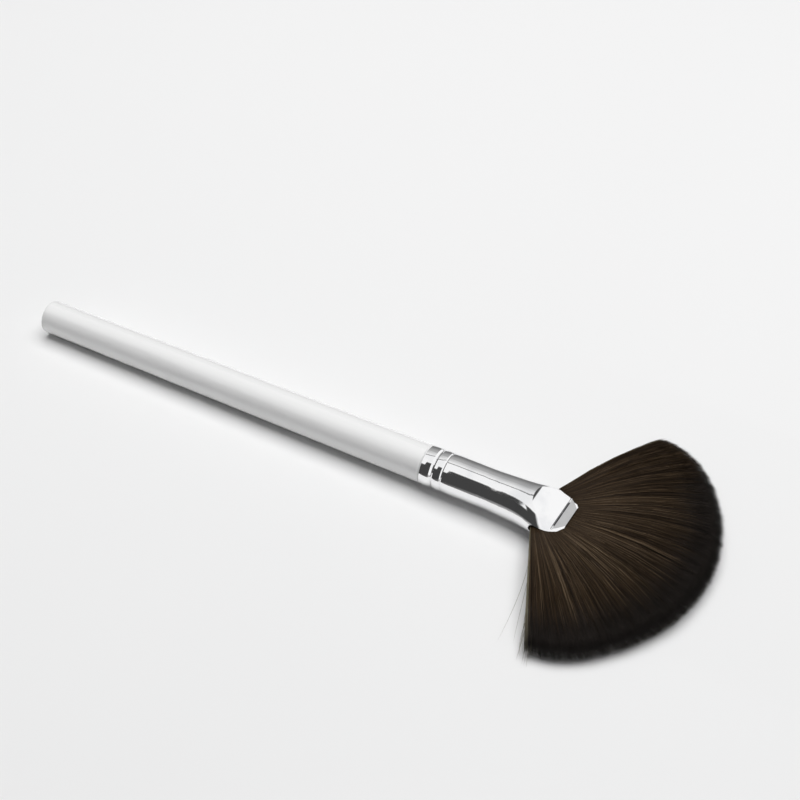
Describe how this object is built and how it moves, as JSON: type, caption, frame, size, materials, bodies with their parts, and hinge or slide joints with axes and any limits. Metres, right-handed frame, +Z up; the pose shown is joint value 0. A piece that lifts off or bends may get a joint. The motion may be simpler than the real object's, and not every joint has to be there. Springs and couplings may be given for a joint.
{
  "type": "fan makeup brush",
  "caption": "Fan-shaped makeup brush lying flat: slim round lacquered handle, plated metal ferrule pressed flat at its mouth, and a wide flat spread of soft dark hair.",
  "frame": {"origin": "on the table, below the middle of the lying brush's overall box", "axes": "+X along the brush from the tail of the handle to the bristle tips, +Y across the fan, +Z up from the table"},
  "size_m": [0.1915, 0.0834, 0.011],
  "materials": {
    "white_lacquer": "gloss white lacquer over turned wood",
    "bright_plating": "polished bright plating",
    "cast_resin": "cast amber resin",
    "dark_hair": "fine straight synthetic hair"
  },
  "bodies": {
    "root": {"handle": "white_lacquer", "ferrule": "bright_plating", "glue_plug": "cast_resin", "bristle_tuft": "dark_hair"}
  },
  "joints": []
}
